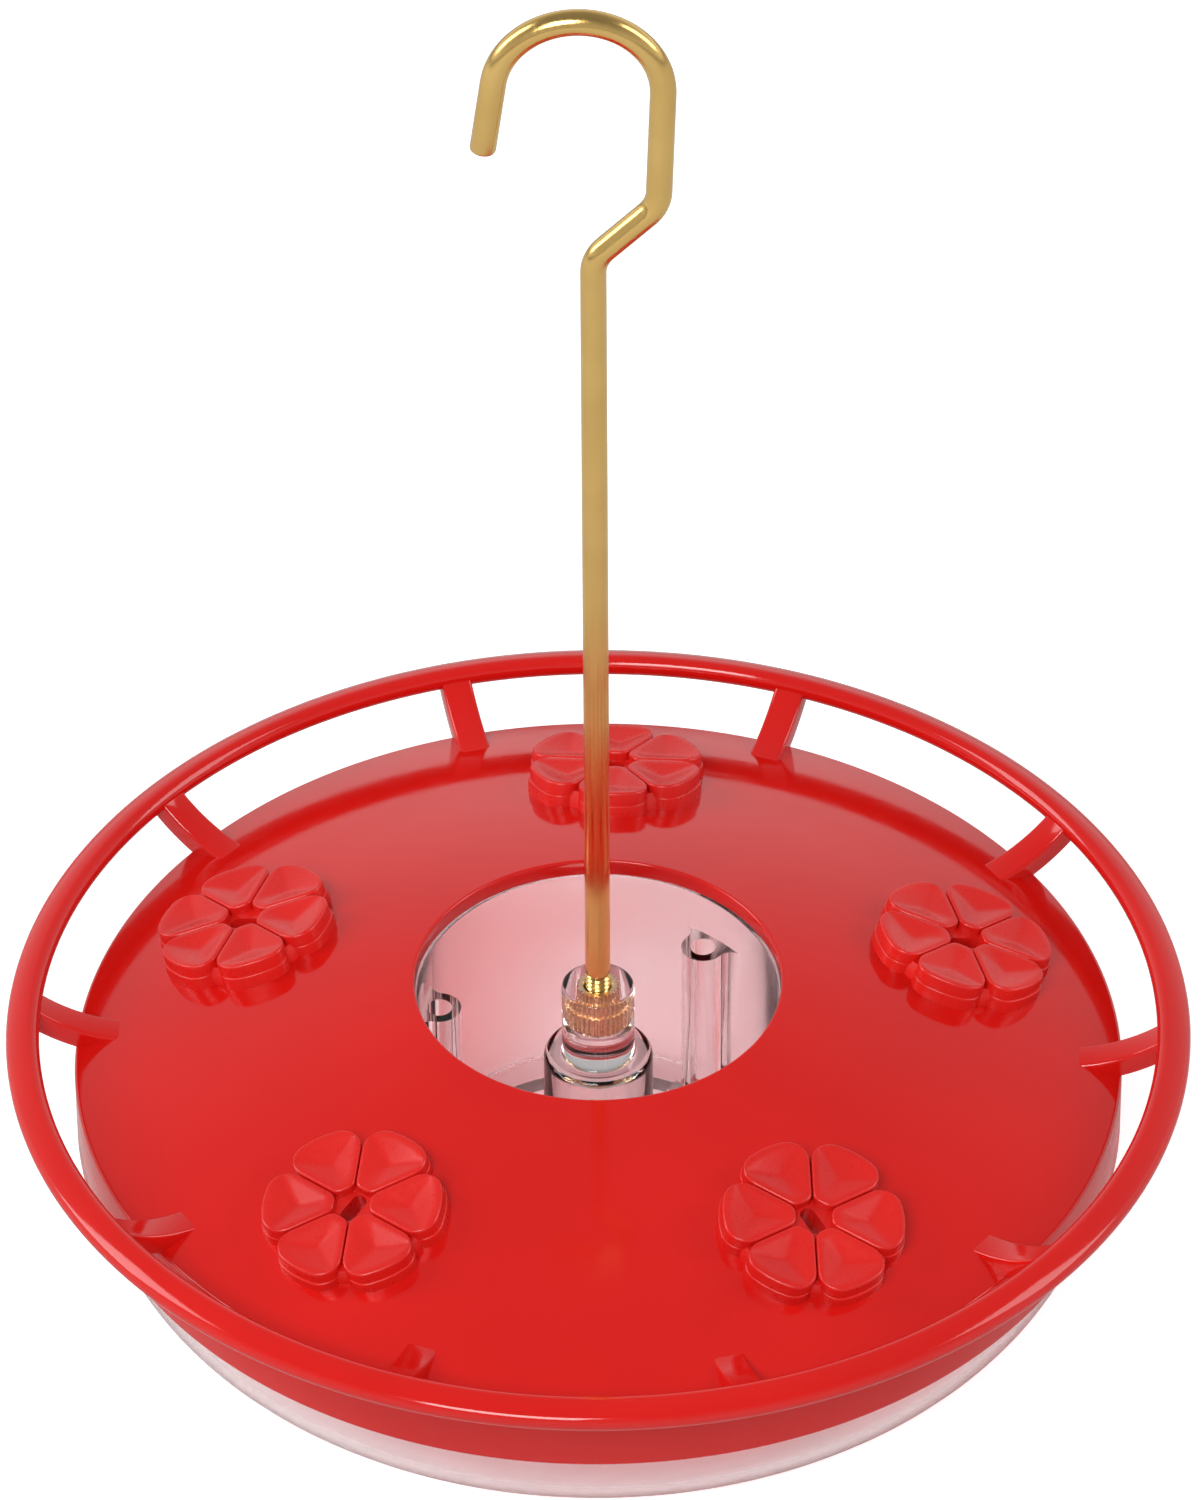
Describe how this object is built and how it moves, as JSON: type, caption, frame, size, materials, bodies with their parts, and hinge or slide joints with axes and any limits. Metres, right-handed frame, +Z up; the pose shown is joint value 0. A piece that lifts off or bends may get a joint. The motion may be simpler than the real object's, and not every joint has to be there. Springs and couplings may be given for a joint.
{
  "type": "hummingbird feeder",
  "caption": "Shallow hanging nectar feeder: clear bowl with an ant moat, red cover with flower ports and a perch ring, brass hook rod.",
  "frame": {"origin": "centre of the bowl's flat base, on the surface it stands on, below the axis of bowl, cover and rod", "axes": "+Z up along the rod, -Y towards the viewer of the picture, +X to the right"},
  "size_m": [0.225, 0.225, 0.279],
  "materials": {
    "red_plastic": "glossy moulded polycarbonate",
    "clear_plastic": "clear moulded polycarbonate",
    "insert_brass": "knurled brass",
    "rod_brass": "satin drawn brass"
  },
  "bodies": {
    "bowl_body": {"bowl": "clear_plastic", "threaded_insert": "insert_brass"},
    "cover_body": {"cover": "red_plastic"},
    "rod_body": {"hook_rod": "rod_brass"}
  },
  "joints": [
    {"name": "cover_lift", "type": "slide", "parent": "bowl_body", "child": "cover_body", "axis": [0, 0, 1], "range_m": [0, 0.26]},
    {"name": "rod_turn", "type": "hinge", "parent": "bowl_body", "child": "rod_body", "pos_m": [0, 0, 0.05], "axis": [0, 0, 1], "range_deg": [-180, 180]}
  ]
}
